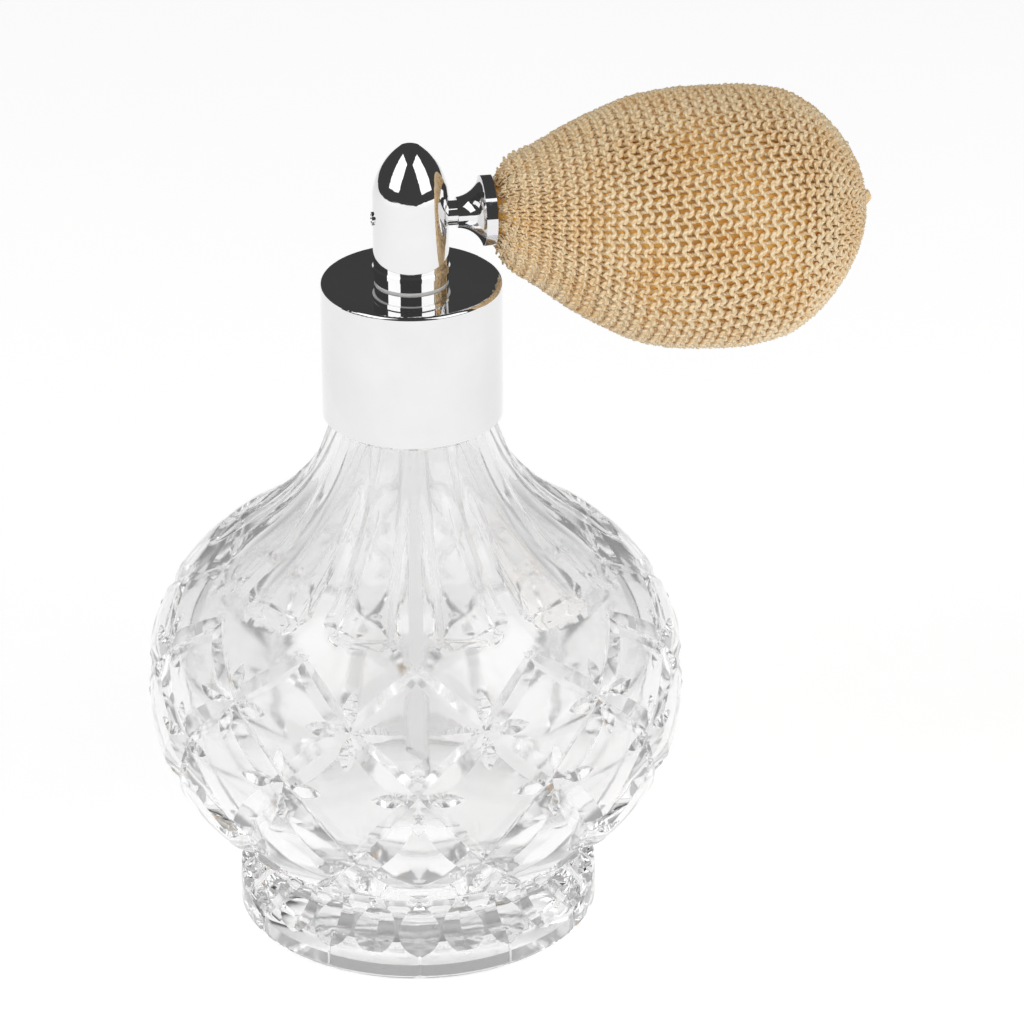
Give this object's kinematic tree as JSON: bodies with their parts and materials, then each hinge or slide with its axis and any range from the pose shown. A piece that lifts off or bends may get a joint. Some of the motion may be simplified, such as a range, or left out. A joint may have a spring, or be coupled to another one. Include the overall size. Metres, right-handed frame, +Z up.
{
  "type": "perfume atomiser",
  "caption": "Cut-glass perfume bottle with a screw collar, a swivelling spray head and a squeeze bulb in a knitted net.",
  "frame": {"origin": "centre of the foot's resting face, on the bottle's axis", "axes": "+Z up the bottle's axis, +X along the squeeze bulb, so the spray leaves along -X"},
  "size_m": [0.1027, 0.0758, 0.1222],
  "materials": {
    "glass": "clear cut and fire-polished glass",
    "chrome": "mirror-bright chrome plate",
    "brass": "turned, bare",
    "spring_steel": "bright drawn steel",
    "nozzle_metal": "fine turned",
    "liner_plastic": "moulded, matt white",
    "washer_plastic": "smooth low-friction plastic",
    "tube_plastic": "translucent extruded tube",
    "soft_seal": "soft sealing foam",
    "seal_rubber": "smooth black rubber",
    "bulb_rubber": "smooth tan rubber",
    "net_yarn": "shiny knitted cream and gold yarn"
  },
  "bodies": {
    "bottle": {"bottle_glass": "glass"},
    "gasket": {"neck_gasket": "soft_seal"},
    "collar": {"collar_shell": "chrome", "collar_insert": "liner_plastic"},
    "head": {"head_core": "brass", "head_shell": "chrome", "head_base_ring": "chrome", "swivel_washer": "washer_plastic", "stem_retainer": "spring_steel", "stem_o_ring": "seal_rubber", "dip_tube": "tube_plastic", "liquid_jet": "spring_steel", "air_jet": "brass", "nozzle_tip": "nozzle_metal", "connector_tube": "chrome", "connector_gasket": "soft_seal", "ferrule_cone": "chrome", "ferrule_ring": "chrome", "bulb_barb": "brass", "bulb_bladder": "bulb_rubber", "bulb_net": "net_yarn", "net_neck_binding": "net_yarn", "net_tail_tie": "net_yarn", "intake_valve_body": "brass", "intake_valve_cage": "brass"},
    "valve_ball": {"intake_valve_ball": "spring_steel"}
  },
  "joints": [
    {"name": "collar_rise", "type": "slide", "parent": "bottle", "child": "gasket", "axis": [0, 0, 1], "range_m": [0, 0.0075]},
    {"name": "collar_turn", "type": "hinge", "parent": "gasket", "child": "collar", "pos_m": [0, 0, 0.09], "axis": [0, 0, 1], "range_deg": [0, 900]},
    {"name": "head_swivel", "type": "hinge", "parent": "collar", "child": "head", "pos_m": [0, 0, 0.0965], "axis": [0, 0, 1], "continuous": true},
    {"name": "bulb_squeeze", "type": "slide", "parent": "head", "child": "valve_ball", "axis": [0.9981, 0, -0.061], "range_m": [0, 0.00075]}
  ],
  "couplings": [
    {"joint": "collar_turn", "follows": "collar_rise", "rad_per_m": 2094.4}
  ]
}
